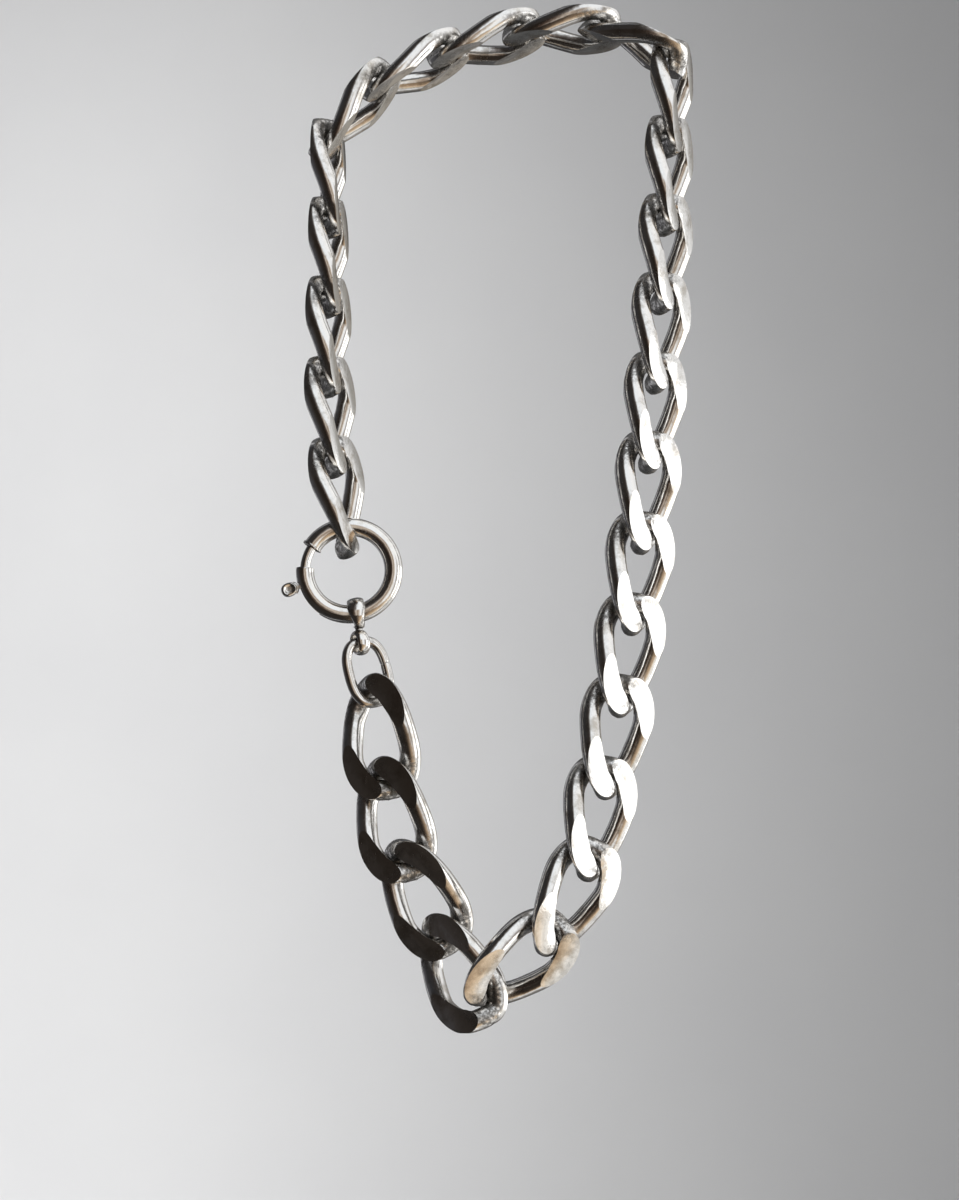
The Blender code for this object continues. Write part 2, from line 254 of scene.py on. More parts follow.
# The stem between bolt and loop: distance from the ring's middle, and share of its width.
STEM_SECTIONS = (
    (RING_RADIUS - 0.3, 1.0),
    (RING_RADIUS + TUBE_RADIUS - 0.05, 1.0),
    (RING_RADIUS + TUBE_RADIUS + 0.2, 2.2),
    (RING_RADIUS + TUBE_RADIUS + 0.6, 3.0),
)
STEM_FIT = 0.96
STEM_HALF_DEPTH = 0.46
STEM_SIDES = 20
STEM_SQUARENESS = 0.6

# The bail's bands, whose widths stay inside the CAD bands, and the post between them.
BAIL_UPPER_TRIM = 0.1
BAIL_LOWER_TRIM = 0.05
BAIL_UPPER_TAPER = 0.4
BAND_LIP = 0.2
BAND_STEPS = 72
DOME_STEPS = 16
EYE_STEPS = 12
BAND_SHARP_ANGLE = 50
NECK_OVERLAP = 0.32
NECK_WAIST = 0.62
NECK_FLARE = 0.34
NECK_STEPS = 8
NECK_SIDES = 24

JUMP_CUT_GAP = 0.06
JUMP_FIT = 0.01
JUMP_CUT_EDGE = 0.06
JUMP_STEPS = 96
JUMP_SIDES = 28


# ---- Small helpers --------------------------------------------------------------


def smooth_limit(value):
    """Follows the value smoothly up to a limit of one either way."""
    value = max(-1.0, min(1.0, value))
    return 1.5 * value - 0.5 * value**3


def smooth_step(low, high, value):
    """From 0 at low to 1 at high, where low may be the larger."""
    share = max(0.0, min(1.0, (value - low) / (high - low)))
    return share * share * (3 - 2 * share)


def power(value, exponent):
    """A power that keeps the value's sign."""
    return copysign(abs(value) ** exponent, value)


def facing(lean, tilt=0.0, turn=0.0):
    """Turned about its own length, then tilted to the viewer, then leaning sideways."""
    lean_part = Matrix.Rotation(radians(lean), 4, "Y")
    tilt_part = Matrix.Rotation(radians(-tilt), 4, "X")
    turn_part = Matrix.Rotation(radians(turn), 4, "Z")
    return lean_part @ tilt_part @ turn_part


def place(centre, rotation):
    return Matrix.Translation(Vector(centre) * MM) @ rotation


def on_ring(angle, radius=RING_RADIUS):
    """A point round the bolt ring, where 0 is at the right and 90 at the top."""
    return Vector((radius * cos(radians(angle)), 0.0, radius * sin(radians(angle))))


def show(name, node, mesh, matrix, materials):
    """Adds a piece that stands for a CAD node, rides on its body and keeps in its box."""
    mesh.transform(matrix)
    for vertex in mesh.vertices:
        held = zip(vertex.co, *CAD_BOX)
        vertex.co = [min(max(value, low), high) for value, low, high in held]
    obj = bpy.data.objects.new(name, mesh)
    bpy.context.scene.collection.objects.link(obj)
    mesh.materials.clear()
    for material in materials:
        mesh.materials.append(material)
    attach(obj, frame["nodes"][node]["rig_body"])
    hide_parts(node)


def mesh_from(work, name, sharp_angle=38.0):
    bmesh.ops.recalc_face_normals(work, faces=work.faces)
    mesh = bpy.data.meshes.new(name)
    work.to_mesh(mesh)
    work.free()
    mesh.shade_smooth()
    mesh.set_sharp_from_angle(angle=radians(sharp_angle))
    return mesh


def sweep(work, rows, closed=False):
    """Joins rows of points into a tube, which is a loop or has its ends filled."""
    rings = [[work.verts.new(Vector(point) * MM) for point in row] for row in rows]
    count = len(rings[0])
    pairs = list(zip(rings, rings[1:]))
    if closed:
        pairs.append((rings[-1], rings[0]))
    for near, far in pairs:
        for k in range(count):
            following = (k + 1) % count
            work.faces.new((near[k], near[following], far[following], far[k]))
    if not closed:
        work.faces.new(rings[0])
        work.faces.new(rings[-1])


def round_rows(points, radius_at, sides, closed=False):
    """Rows of a round section along a line, which never runs along the depth axis."""
    rows = []
    count = len(points)
    for k, point in enumerate(points):
        before = points[k - 1] if closed or k > 0 else point
        after = points[(k + 1) % count] if closed or k < count - 1 else point
        along = (after - before).normalized()
        first = along.cross(DEPTH_AXIS).normalized()
        second = first.cross(along)
        row = []
        for side in range(sides):
            angle = 2 * pi * side / sides
            radius = radius_at(k, angle)
            row.append(point + first * radius * cos(angle) + second * radius * sin(angle))
        rows.append(row)
    return rows


def boolean(base, tool, operation):
    """The base mesh after an exact Boolean with the tool mesh."""
    objects = [bpy.data.objects.new("work", mesh) for mesh in (base, tool)]
    for obj in objects:
        bpy.context.scene.collection.objects.link(obj)
    change = objects[0].modifiers.new("Boolean", "BOOLEAN")
    change.operation = operation
    change.solver = "EXACT"
    change.object = objects[1]
    bpy.context.view_layer.update()
    graph = bpy.context.evaluated_depsgraph_get()
    result = bpy.data.meshes.new_from_object(objects[0].evaluated_get(graph))
    for obj in objects:
        bpy.data.objects.remove(obj)
    return result


def clean(mesh):
    """Merges the slivers that a Boolean leaves and closes the pinholes that this makes."""
    work = bmesh.new()
    work.from_mesh(mesh)
    bmesh.ops.remove_doubles(work, verts=work.verts, dist=SLIVER * MM)
    bmesh.ops.dissolve_degenerate(work, edges=work.edges, dist=SLIVER * MM)
    open_edges = [edge for edge in work.edges if edge.is_boundary]
    bmesh.ops.holes_fill(work, edges=open_edges, sides=PINHOLE_SIDES)
    many_sided = [face for face in work.faces if len(face.verts) > 4]
    bmesh.ops.triangulate(work, faces=many_sided)
    work.to_mesh(mesh)
    work.free()


def add_grime_and_shade(mesh, rule):
    """Stores what the rule says about each vertex: 0 is clean and unshaded, 1 has the most
    dirt and painted shade.
    """
    layer = mesh.attributes.new("grime_and_painted_shade", "FLOAT", "POINT")
    values = [rule(vertex.co / MM) for vertex in mesh.vertices]
    layer.data.foreach_set("value", values)


def finish_solid(mesh, sharp_angle, grime_and_shade_rule):
    """Cleans up and smooth-shades a mesh that Booleans have made, and adds dirt with painted
    shade to it.
    """
    clean(mesh)
    mesh.shade_smooth()
    mesh.set_sharp_from_angle(angle=radians(sharp_angle))
    add_grime_and_shade(mesh, grime_and_shade_rule)


# ---- Materials ------------------------------------------------------------------


class Tree:
    """Makes nodes in one node tree, with little writing."""

    def __init__(self, tree):
        self.tree = tree

    def node(self, kind, links=None, **settings):
        made = self.tree.nodes.new(kind)
        for key, value in settings.items():
            setattr(made, key, value)
        for key, value in (links or {}).items():
            self.feed(made.inputs[key], value)
        return made

    def feed(self, socket, value):
        """Links a socket to another one, or sets it to a value or an RGB colour."""
        if isinstance(value, bpy.types.NodeSocket):
            self.tree.links.new(value, socket)
        elif socket.type == "RGBA":
            socket.default_value = (*value, 1.0)
        else:
            socket.default_value = value

    def mix(self, factor, first, second):
        links = {0: factor, 6: first, 7: second}
        return self.node("ShaderNodeMix", links, data_type="RGBA").outputs[2]


class Nodes(Tree):
    """The nodes of one material."""

    def __init__(self, name):
        self.material = bpy.data.materials.new(name)
        self.material.use_nodes = True
        super().__init__(self.material.node_tree)
        self.shader = self.tree.nodes["Principled BSDF"]
        self.place = self.node("ShaderNodeTexCoord").outputs["Object"]

    def math(self, operation, first, second=0.0, third=0.0):
        made = self.node(
            "ShaderNodeMath", {0: first, 1: second, 2: third}, operation=operation
        )
        return made.outputs[0]

    def ramp(self, value, low, high, low_out=0.0, high_out=1.0):
        made = self.node(
            "ShaderNodeMapRange",
            {0: value, 1: low, 2: high, 3: low_out, 4: high_out},
            interpolation_type="SMOOTHSTEP",
        )
        return made.outputs[0]

    def noise(self, scale, detail=3.0, roughness=0.55, stretch=None, turn=(0, 0, 0)):
        """Noise with its scale in features per metre, drawn out along one axis."""
        vector = self.place
        if stretch is not None:
            mapping = self.node(
                "ShaderNodeMapping", {"Vector": vector, "Scale": stretch, "Rotation": turn}
            )
            vector = mapping.outputs[0]
        made = self.node(
            "ShaderNodeTexNoise",
            {"Vector": vector, "Scale": scale, "Detail": detail, "Roughness": roughness},
        )
        return made.outputs["Fac"]

    def attribute(self, name):
        return self.node("ShaderNodeAttribute", attribute_name=name).outputs["Fac"]

    def bump(self, height, distance, strength=1.0, normal=None):
        links = {"Height": height, "Distance": distance, "Strength": strength}
        if normal is not None:
            links["Normal"] = normal
        return self.node("ShaderNodeBump", links).outputs[0]

    def connect(self, colour, roughness, normal):
        self.feed(self.shader.inputs["Base Color"], colour)
        self.feed(self.shader.inputs["Roughness"], roughness)
        self.feed(self.shader.inputs["Normal"], normal)


SCRATCH_TURNS = ((0.3, 0.1, 0.4), (1.1, 0.5, 0.2), (0.2, 0.9, 1.3))
SCRATCH_STRETCH = (1.0, 1.0, 0.06)
SCRATCH_EDGE = 0.06
SCRATCH_COLOUR = (0.97, 0.96, 0.94)
# Near-black, for dirt mixed with painted shade where pieces meet and in hollows.
GRIME_AND_SHADE_COLOUR = (0.035, 0.03, 0.026)

# Scratches per metre and the noise level they start at, then dents per metre and their
# depth in metres.
ROUND_WEAR = (1900.0, 0.68, 420.0, 0.00009)
FILED_WEAR = (1500.0, 0.66, 520.0, 0.00005)


def scratches(n, scale, level):
    """Fine straight scratches in several directions, from 0 to 1."""
    total = None
    for turn in SCRATCH_TURNS:
        lines = n.noise(scale, 2.0, 0.5, SCRATCH_STRETCH, turn)
        one = n.ramp(lines, level, level + SCRATCH_EDGE)
        total = one if total is None else n.math("MAXIMUM", total, one)
    return total


def silver(name, colour, patina, roughness, wear=ROUND_WEAR):
    """Polished silver with scratches, cloudy tarnish, and dirt with painted shade where pieces
    meet.
    """
    scratch_scale, scratch_level, dent_scale, dent_depth = wear
    n = Nodes(name)
    n.shader.inputs["Metallic"].default_value = 1.0
    cloud = n.noise(330.0, 4.0, 0.6)
    fine = n.noise(2600.0, 3.0, 0.6)
    lines = scratches(n, scratch_scale, scratch_level)
    grime_and_painted_shade = n.attribute("grime_and_painted_shade")
    speckle = n.noise(1500.0, 4.0, 0.7)
    dirt_and_painted_shade = n.math("MULTIPLY", grime_and_painted_shade, n.ramp(speckle, 0.36, 0.60))
    tarnish = n.ramp(cloud, 0.46, 0.74)

    base = n.mix(tarnish, colour, patina)
    base = n.mix(n.math("MULTIPLY", lines, 0.25), base, SCRATCH_COLOUR)
    # Darkens towards near-black by the stored mask: dirt with painted shade.
    base = n.mix(n.math("MULTIPLY", dirt_and_painted_shade, 0.9), base, GRIME_AND_SHADE_COLOUR)

    # What each kind of wear adds to the roughness.
    rough = roughness
    grain = n.ramp(fine, 0.35, 0.7)
    for amount, added in ((tarnish, 0.09), (grain, 0.05), (lines, 0.10), (dirt_and_painted_shade, 0.35)):
        rough = n.math("MULTIPLY_ADD", amount, added, rough)

    # Bump distances are in metres.
    dents = n.noise(dent_scale, 2.0, 0.5)
    normal = n.bump(dents, dent_depth, 0.55)
    normal = n.bump(fine, 0.00001, 0.6, normal)
    normal = n.bump(lines, 0.000012, -0.6, normal)
    normal = n.bump(speckle, 0.00012, n.math("MULTIPLY", grime_and_painted_shade, 0.5), normal)
    n.connect(base, rough, normal)
    return n.material


def spring_steel():
    """Steel wire with the faint lines that drawing it leaves."""
    n = Nodes("spring_steel_wire")
    n.shader.inputs["Metallic"].default_value = 1.0
    drawn = n.noise(2400.0, 3.0, 0.6, (1.0, 1.0, 0.2), (0.4, 0.2, 0.1))
    base = n.mix(n.ramp(drawn, 0.35, 0.7), STEEL_DARK, STEEL_LIGHT)
    rough = n.ramp(drawn, 0.3, 0.8, 0.22, 0.4)
    n.connect(base, rough, n.bump(drawn, 0.00001, 0.5))
    return n.material


STEEL_DARK = (0.42, 0.41, 0.42)
STEEL_LIGHT = (0.66, 0.65, 0.64)
LINK_SILVER = (0.885, 0.872, 0.85)
ROUND_PATINA = (0.56, 0.525, 0.475)
FILED_PATINA = (0.75, 0.73, 0.69)
CLASP_SILVER = (0.90, 0.885, 0.86)
CLASP_PATINA = (0.76, 0.72, 0.66)

link_round = silver("link_silver_round", LINK_SILVER, ROUND_PATINA, 0.11)
link_filed = silver("link_silver_filed", LINK_SILVER, FILED_PATINA, 0.13, FILED_WEAR)
clasp_silver = silver("clasp_silver_polished", CLASP_SILVER, CLASP_PATINA, 0.09)
steel = spring_steel()


# ---- Links ----------------------------------------------------------------------


def link_point(angle):
    """A point on the link's centreline, with the twist of a curb link."""
    z = LINK_HALF_LENGTH * power(cos(angle), 2 / LINK_ROUNDNESS)
    x = LINK_HALF_WIDTH * power(sin(angle), 2 / LINK_ROUNDNESS)
    swing = sin(pi / 2 * z / LINK_HALF_LENGTH)
    y = -TWIST_DEPTH * swing * smooth_limit(x / TWIST_WIDTH)
    return Vector((x, y, z))


def even_link_line(count):
    """Points at equal spacing along the link's centreline, from the top round."""
    full = LINK_LINE_POINTS
    fine = [link_point(2 * pi * k / full) for k in range(full + 1)]
    lengths = [0.0]
    for near, far in zip(fine, fine[1:]):
        lengths.append(lengths[-1] + (far - near).length)
    points = []
    index = 0
    for k in range(count):
        target = lengths[-1] * k / count
        while lengths[index + 1] < target:
            index += 1
        share = (target - lengths[index]) / (lengths[index + 1] - lengths[index])
        points.append(fine[index].lerp(fine[index + 1], share))
    return points


def spread(point, angle):
    """How far the filed wire stands inwards; the inside of the link is at 180 degrees."""
    filed = smooth_step(*SPREAD_DEPTH, abs(point.y) / TWIST_DEPTH)
    away = degrees(angle) - 180.0
    if point.y > 0:
        away = -away
    near = smooth_step(*SPREAD_SPAN, max(-away, 0.0))
    return SPREAD * filed * near * smooth_step(*SPREAD_END, abs(away))


def cut_flat(work, side):
    """Cuts off what stands beyond the filed face and returns the flat faces made."""
    bmesh.ops.bisect_plane(
        work,
        geom=work.verts[:] + work.edges[:] + work.faces[:],
        plane_co=(0.0, side * FILED_HALF_THICKNESS * MM, 0.0),
        plane_no=(0.0, side, 0.0),
        clear_outer=True,
    )
    open_edges = [edge for edge in work.edges if edge.is_boundary]
    made = bmesh.ops.edgeloop_fill(work, edges=open_edges)
    return made["faces"]


def link_mesh(number):
    """One link. Its small dents, joint, and dirt with painted shade differ from link to link.
    """
    draw = Random(number)
    offset = Vector([draw.uniform(-50, 50) for _ in range(3)])
    points = even_link_line(LINK_STEPS)
    seam = LINK_STEPS * SEAM_ANGLE / 360.0
    spacing = (points[1] - points[0]).length

    def radius(k, angle):
        point = points[k]
        dent_place = offset + point * DENT_SCALE + Vector((0, 0, angle))
        dent = DENT_HEIGHT * noise.noise(dent_place)
        reach = abs((k - seam) * spacing / SEAM_WIDTH)
        groove = -SEAM_DEPTH * smooth_step(*SEAM_GROOVE, reach)
        round_wire = Vector((cos(angle), sin(angle), 0)) * LUMP_SPREAD
        lump_place = offset + point * LUMP_SCALE + round_wire
        rough = max(0.0, noise.noise(lump_place))
        lump = LUMP_HEIGHT * rough * smooth_step(*LUMP_REACH, reach)
        return VISUAL_WIRE_RADIUS + dent + groove + lump + spread(point, angle)

    work = bmesh.new()
    rows = round_rows(points, radius, LINK_SIDES, closed=True)
    sweep(work, rows, closed=True)
    flats = [face for side in (-1, 1) for face in cut_flat(work, side)]
    bmesh.ops.recalc_face_normals(work, faces=work.faces)
    for face in flats:
        face.material_index = 1
    rims = {edge for face in flats for edge in face.edges}
    soft = [edge for edge in rims if edge.calc_face_angle(0.0) > radians(EDGE_ANGLE)]
    bmesh.ops.bevel(
        work,
        geom=soft,
        offset=EDGE_SOFTNESS * MM,
        offset_type="OFFSET",
        segments=EDGE_SEGMENTS,
        profile=EDGE_ROUNDNESS,
        affect="EDGES",
        clamp_overlap=True,
        material=0,
    )
    mesh = mesh_from(work, f"curb_link_{number:02d}_mesh", LINK_SHARP_ANGLE)
    add_grime_and_shade(mesh, link_grime_and_shade)
    return mesh


def link_grime_and_shade(point):
    """Dirt and painted shade towards both ends, on the side that looks away from the filed
    face.
    """
    end = smooth_step(*DIRT_AND_SHADE_ENDS, abs(point.z))
    filed_side = -copysign(1.0, point.x * point.z)
    away = smooth_step(*DIRT_AND_SHADE_BACK, point.y * filed_side)
    return end * (BACK_DIRT_AND_SHADE * away)


def strand_places(top, leans, turns):
    """The links of a strand, each hanging from the one above."""
    contact = Vector(top)
    places = []
    for lean, turn in zip(leans, turns):
        rotation = facing(lean, 0.0, turn)
        along = rotation.to_3x3() @ Vector((0.0, 0.0, 1.0))
        places.append(place(contact - along * CONTACT_REACH, rotation))
        contact = contact - along * PITCH
    return places


def build_links():
    lower_left = strand_places(LOWER_LEFT_TOP, LOWER_LEFT_LEANS, LOWER_LEFT_TURNS)
    right_upwards = strand_places(RIGHT_TOP, RIGHT_LEANS, RIGHT_TURNS)[::-1]
    left = strand_places(LEFT_TOP, LEFT_LEANS, LEFT_TURNS)
    bottom = [place(row[:3], facing(*row[3:])) for row in BOTTOM_BEND]
    top = [place(row[:3], facing(*row[3:])) for row in TOP_BEND]
    for number, matrix in enumerate(lower_left + bottom + right_upwards + top + left, 1):
        node = f"link_{number:02d}"
        mesh = link_mesh(number)
        show(f"curb_{node}", node, mesh, matrix, [link_round, link_filed])


# ---- Bolt ring ------------------------------------------------------------------


def ring_centre():
    """The ring hangs in the last link of the left strand, leaning a little."""
    contact = Vector(LEFT_TOP)
    for lean in LEFT_LEANS:
        contact -= Vector((sin(radians(lean)), 0.0, cos(radians(lean)))) * PITCH
    along = Vector(RING_HANGS_ALONG).normalized()
    return contact + along * (RING_RADIUS - TUBE_RADIUS - CLEARANCE / 2)


# How a softened end falls off: share of the softening along the bar, and inwards.
END_PROFILE = ((0.0, 1.0), (0.3, 0.35), (1.0, 0.0))


def arc_mesh(name, start, end, radius, step=2.0, rounded=0.0):
    """A round bar bent along the ring. rounded softens its two end edges."""
    count = max(2, round((end - start) / step))
    angles = [start + (end - start) * k / count for k in range(count + 1)]
    radii = [radius] * len(angles)
    if rounded:
        turn = degrees(rounded / RING_RADIUS)
        head = [(start + turn * s, radius - rounded * d) for s, d in END_PROFILE]
        tail = [(end - turn * s, radius - rounded * d) for s, d in END_PROFILE[::-1]]
        middle = [(a, radius) for a in angles if start + turn < a < end - turn]
        angles, radii = zip(*(head + middle + tail))
    points = [on_ring(angle) for angle in angles]
    rows = []
    for angle, point, size in zip(angles, points, radii):
        out = on_ring(angle, 1.0)
        row = []
        for side in range(RING_SIDES):
            turn = 2 * pi * side / RING_SIDES
            row.append(point + out * size * cos(turn) + DEPTH_AXIS * size * sin(turn))
        rows.append(row)
    work = bmesh.new()
    sweep(work, rows)
    return mesh_from(work, name)


def slot_mesh():
    """What the slot for the trigger takes away."""
    work = bmesh.new()
    rows = []
    for k in range(SLOT_STEPS + 1):
        angle = SLOT_START + (SLOT_END - SLOT_START) * k / SLOT_STEPS
        inner = on_ring(angle, RING_RADIUS)
        outer = on_ring(angle, RING_RADIUS + TUBE_RADIUS + SLOT_OVERSHOOT)
        depth = Vector((0, SLOT_HALF_DEPTH, 0))
        rows.append([inner - depth, outer - depth, outer + depth, inner + depth])
    sweep(work, rows)
    return mesh_from(work, "slot")


def ring_grime_and_shade(point):
    """Dirt and painted shade in the bore, round the mouth, and where the bail and the chain
    hang.
    """
    angle = degrees(atan2(point.z, point.x)) % 360.0
    distance = Vector((point.x, 0, point.z)).length - RING_RADIUS
    inside = smooth_step(1.5, 1.2, Vector((distance, point.y, 0)).length)
    bail = smooth_step(15.0, 8.0, abs(angle - BAIL_ANGLE))
    mouth = smooth_step(4.0, 0.5, abs(angle - MOUTH_START))
    mouth = max(mouth, smooth_step(4.0, 0.5, abs(angle - MOUTH_END)))
    chain = smooth_step(12.0, 4.0, abs(angle - LINK_ON_RING_ANGLE))
    chain *= smooth_step(0.4, -1.0, distance)
    return max(inside, 0.7 * bail, 0.35 * mouth, 0.5 * chain)


def build_ring(centre):
    """The hollow tube with its collar, bore, tip socket, mouth and slot."""
    tube_end = MOUTH_START + 360.0
    tube = arc_mesh("tube", MOUTH_END, tube_end, VISUAL_TUBE_RADIUS, rounded=TUBE_EDGE)
    collar_end = tube_end - COLLAR_SETBACK
    collar_start = collar_end - COLLAR_SPAN
    collar = arc_mesh(
        "collar", collar_start, collar_end, COLLAR_RADIUS, 1.0, rounded=COLLAR_EDGE
    )
    solid = boolean(tube, collar, "UNION")
    bore_start = MOUTH_END - CUTTER_OVERLAP
    socket_end = MOUTH_START + CUTTER_OVERLAP
    cutters = (
        arc_mesh("bore", bore_start, BORE_END, BORE_RADIUS),
        arc_mesh("socket", TIP_SOCKET_END, socket_end, BORE_RADIUS, 1.5),
        slot_mesh(),
    )
    for cutter in cutters:
        solid = boolean(solid, cutter, "DIFFERENCE")
    finish_solid(solid, RING_SHARP_ANGLE, ring_grime_and_shade)
    matrix = Matrix.Translation(centre * MM)
    show("bolt_ring_body", "bolt_ring_tube", solid, matrix, [clasp_silver])


def trigger_loop():
    """A thumb loop: a rounded tab with a thick rim and a dished middle on both faces."""
    reach = (TRIGGER_REACH - LOOP_CLEARANCE) / 2
    heart = RING_RADIUS + TUBE_RADIUS + TRIGGER_REACH - reach - BOX_MARGIN
    other_face = [(share, -half) for share, half in LOOP_SECTION[-2::-1]]
    rows = []
    for share, half in [*LOOP_SECTION, *other_face]:
        row = []
        for k in range(LOOP_SIDES):
            angle = 2 * pi * k / LOOP_SIDES
            outer = cos(angle) > 0
            squareness = LOOP_OUTER_SQUARENESS if outer else LOOP_INNER_SQUARENESS
            out = power(cos(angle), squareness) * reach * share
            across = power(sin(angle), LOOP_OUTER_SQUARENESS) * LOOP_HALF_WIDTH * share
            narrow = 1.0 - LOOP_NARROWING * smooth_step(0.0, -reach, out)
            row.append(Vector((heart + out, half, across * narrow)))
        rows.append(row)
    work = bmesh.new()
    sweep(work, rows)
    return mesh_from(work, "thumb_loop", 60.0)


def stem_mesh():
    """The stem, which flares out above the slot into the foot of the thumb loop."""
    work = bmesh.new()
    half = STEM_WIDTH / 2 * STEM_FIT
    rows = []
    for out, scale in STEM_SECTIONS:
        row = []
        for k in range(STEM_SIDES):
            angle = 2 * pi * k / STEM_SIDES
            side = power(cos(angle), STEM_SQUARENESS) * half * scale
            depth = power(sin(angle), STEM_SQUARENESS) * STEM_HALF_DEPTH
            row.append(Vector((out, depth, side)))
        rows.append(row)
    sweep(work, rows)
    return mesh_from(work, "stem")


def bolt_grime_and_shade(point):
    """A little dirt and painted shade on the bolt, more in the loop's dish and at its foot."""
    radial = Vector((point.x, 0, point.z)).length
    skin = RING_RADIUS + TUBE_RADIUS
    if radial < skin - 0.3:
        return 0.15
    dish = smooth_step(0.36, 0.24, abs(point.y))
    dish *= smooth_step(0.9, 0.6, abs(radial - TRIGGER_MIDDLE))
    root = smooth_step(skin + 0.35, skin, radial)
    return max(0.9 * dish, 0.8 * root)


def build_bolt(centre):
    """The sliding bolt with its stem and thumb loop, all one piece."""
    rod = arc_mesh("rod", BOLT_START, BOLT_END, VISUAL_BOLT_RADIUS, rounded=BOLT_EDGE)
    turn = Matrix.Rotation(radians(TRIGGER_ANGLE), 4, (0.0, -1.0, 0.0))
    for extra in (stem_mesh(), trigger_loop()):
        extra.transform(turn)
        rod = boolean(rod, extra, "UNION")
    finish_solid(rod, BOLT_SHARP_ANGLE, bolt_grime_and_shade)
    matrix = Matrix.Translation(centre * MM)
    show("bolt_and_thumb_loop", "bolt_with_trigger", rod, matrix, [clasp_silver])


def build_spring(centre):
    """The coil spring, which follows the bore."""
    count = SPRING_TURNS * SPRING_TURN_STEPS
    points = []
    for k in range(count + 1):
        share = k / count
        angle = SPRING_START + (SPRING_END - SPRING_START) * share
        phase = 2 * pi * SPRING_TURNS * share
        point = on_ring(angle, RING_RADIUS + SPRING_COIL_RADIUS * cos(phase))
        point.y = SPRING_COIL_RADIUS * sin(phase)
        points.append(point)
    work = bmesh.new()
    rows = []
    for k, point in enumerate(points):
        angle = SPRING_START + (SPRING_END - SPRING_START) * k / count
        heart = on_ring(angle)
        before = points[max(0, k - 1)]
        after = points[min(count, k + 1)]
        along = (after - before).normalized()
        first = along.cross((point - heart).normalized()).normalized()
        second = first.cross(along)
        row = []
        for side in range(SPRING_SIDES):
            turn = 2 * pi * side / SPRING_SIDES
            outwards = first * cos(turn) + second * sin(turn)
            row.append(point + outwards * SPRING_WIRE_RADIUS)
        rows.append(row)
    sweep(work, rows)
    mesh = mesh_from(work, "coil", 60.0)
    matrix = Matrix.Translation(centre * MM)
    show("bolt_coil_spring", "bolt_spring", mesh, matrix, [steel])


# ---- Bail and jump ring ---------------------------------------------------------


def bail_lower_offset():
    """From the middle of the upper band to the middle of the lower one."""
    drop = BAIL_UPPER_HOLE + BAIL_LOWER_HOLE + 2 * BAIL_WALL + BAIL_NECK
    return Vector((BAIL_LOWER_SHIFT, 0.0, -drop))


def domed_band(name, hole, width, thickness, taper=0.0):
    """A ring about the X axis with a domed outside; taper narrows it towards its foot."""
    profile = []
    dome = thickness - BAND_LIP
    for k in range(DOME_STEPS + 1):
        angle = pi * k / DOME_STEPS
        across = -cos(angle) * width / 2
        profile.append((across, hole + BAND_LIP + dome * sin(angle)))
    for k in range(1, EYE_STEPS):
        angle = pi * k / EYE_STEPS
        across = cos(angle) * width / 2
        profile.append((across, hole + BAND_LIP * (1 - power(sin(angle), 0.5))))
    work = bmesh.new()
    rows = []
    for k in range(BAND_STEPS):
        angle = 2 * pi * k / BAND_STEPS
        narrow = 1.0 - taper * smooth_step(0.3, -1.0, sin(angle))
        rows.append([Vector((x * narrow, r * cos(angle), r * sin(angle))) for x, r in profile])
    sweep(work, rows, closed=True)
    return mesh_from(work, name, 50.0)


def neck_mesh():
    """A waisted post that joins the two bands, in the upper band's frame."""
    offset = bail_lower_offset()
    top = offset * ((BAIL_UPPER_HOLE + NECK_OVERLAP) / -offset.z)
    bottom = offset * (1.0 - (BAIL_LOWER_HOLE + NECK_OVERLAP) / -offset.z)
    work = bmesh.new()
    rows = []
    for k in range(NECK_STEPS + 1):
        share = k / NECK_STEPS
        centre = top.lerp(bottom, share)
        radius = NECK_WAIST + NECK_FLARE * abs(2 * share - 1) ** 2
        row = []
        for side in range(NECK_SIDES):
            angle = 2 * pi * side / NECK_SIDES
            row.append(centre + Vector((cos(angle) * radius, sin(angle) * radius, 0.0)))
        rows.append(row)
    sweep(work, rows)
    return mesh_from(work, "neck")


def bail_grime_and_shade(point):
    """Dirt and painted shade at the neck and in the upper eye, and painted shade along the
    edges of the upper band.
    """
    hole = BAIL_UPPER_HOLE
    neck = smooth_step(0.9, 0.2, abs(point.z + hole + BAIL_WALL))
    upper = Vector((0.0, point.y, point.z)).length
    inside = smooth_step(hole + 0.35, hole + 0.1, upper)
    edge = smooth_step(0.8, 1.25, abs(point.x))
    edge *= smooth_step(-hole - 1.2, -hole, point.z)
    return max(neck, inside, 0.7 * edge)


def build_bail(centre):
    """Adds the bail and returns the middle of its lower band."""
    upper = centre + on_ring(BAIL_ANGLE)
    place_upper = Matrix.Rotation(radians(270.0 - BAIL_ANGLE), 4, "Y")
    drop = Matrix.Translation(bail_lower_offset() * MM)
    place_lower = drop @ facing(BAIL_LOWER_LEAN, 0.0, BAIL_TWIST)
    upper_width = BAIL_UPPER_WIDTH - BAIL_UPPER_TRIM
    lower_width = BAIL_LOWER_WIDTH - BAIL_LOWER_TRIM
    upper_band = domed_band(
        "upper", BAIL_UPPER_HOLE, upper_width, BAIL_WALL, BAIL_UPPER_TAPER
    )
    lower_band = domed_band("lower", BAIL_LOWER_HOLE, lower_width, BAIL_WALL)
    upper_band.transform(place_upper)
    lower_band.transform(place_lower)
    solid = boolean(upper_band, neck_mesh(), "UNION")
    solid = boolean(solid, lower_band, "UNION")
    finish_solid(solid, BAND_SHARP_ANGLE, bail_grime_and_shade)
    matrix = Matrix.Translation(upper * MM)
    show("figure_8_bail_bands", "figure_8_bail", solid, matrix, [clasp_silver])
    return upper + bail_lower_offset()


def jump_grime_and_shade(point):
    """Dirt and painted shade at both ends, where the bail and the first link hang."""
    return 0.8 * smooth_step(3.4, 4.4, abs(point.z)) * smooth_step(2.6, 1.4, abs(point.x))


